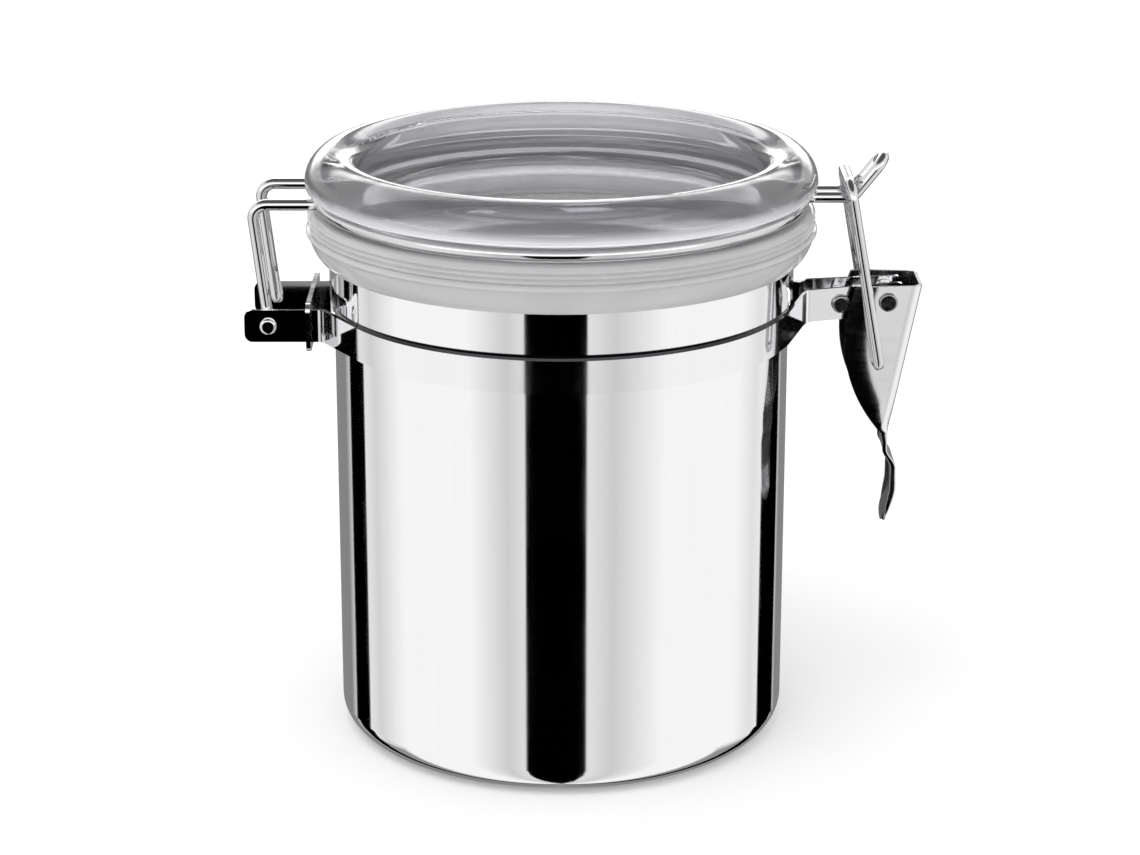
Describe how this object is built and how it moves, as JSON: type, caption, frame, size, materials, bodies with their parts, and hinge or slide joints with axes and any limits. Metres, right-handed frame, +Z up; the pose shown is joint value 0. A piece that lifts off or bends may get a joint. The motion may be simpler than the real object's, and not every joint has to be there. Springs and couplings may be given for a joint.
{
  "type": "food canister",
  "caption": "Polished steel food canister with a clear wire-hinged lid, a translucent seal and an over-centre lever latch with a wire bail.",
  "frame": {"origin": "centre of the base, on the surface the canister stands on", "axes": "+Z up the cup's axis, hinge at -X, latch at +X, plain front towards -Y"},
  "size_m": [0.1508, 0.114, 0.1341],
  "materials": {
    "polished_steel_shell": "mirror-polished stainless steel",
    "polished_steel_sheet": "polished stamped stainless sheet",
    "rivet_steel": "plain rivet steel",
    "wire_steel": "bright drawn spring wire",
    "clear_plastic": "clear, slightly grey moulded plastic",
    "seal_rubber": "translucent whitish moulded seal"
  },
  "bodies": {
    "canister": {"body_shell": "polished_steel_shell", "front_band": "polished_steel_sheet", "rear_band": "polished_steel_sheet", "hinge_keeper": "polished_steel_sheet", "band_rivet": "rivet_steel", "lever_pivot_rivet": "rivet_steel", "ear_spacer": "rivet_steel", "cheek_spacers": "rivet_steel"},
    "lid_assembly": {"lid": "clear_plastic", "gasket": "seal_rubber", "lid_wire": "wire_steel"},
    "latch_lever": {"lever": "polished_steel_sheet"},
    "latch_bail": {"bail": "wire_steel"}
  },
  "joints": [
    {"name": "lid_hinge", "type": "hinge", "parent": "canister", "child": "lid_assembly", "pos_m": [-0.065, 0, 0.09635], "axis": [0, -1, 0], "range_deg": [0, 110]},
    {"name": "lever_swing", "type": "hinge", "parent": "canister", "child": "latch_lever", "pos_m": [0.0728, 0, 0.10053], "axis": [0, -1, 0], "range_deg": [0, 90]},
    {"name": "bail_swing", "type": "hinge", "parent": "latch_lever", "child": "latch_bail", "pos_m": [0.071, 0, 0.08633], "axis": [0, -1, 0], "range_deg": [-60, 0]}
  ],
  "couplings": [
    {"joint": "bail_swing", "follows": "lever_swing", "ratio": -0.66}
  ]
}
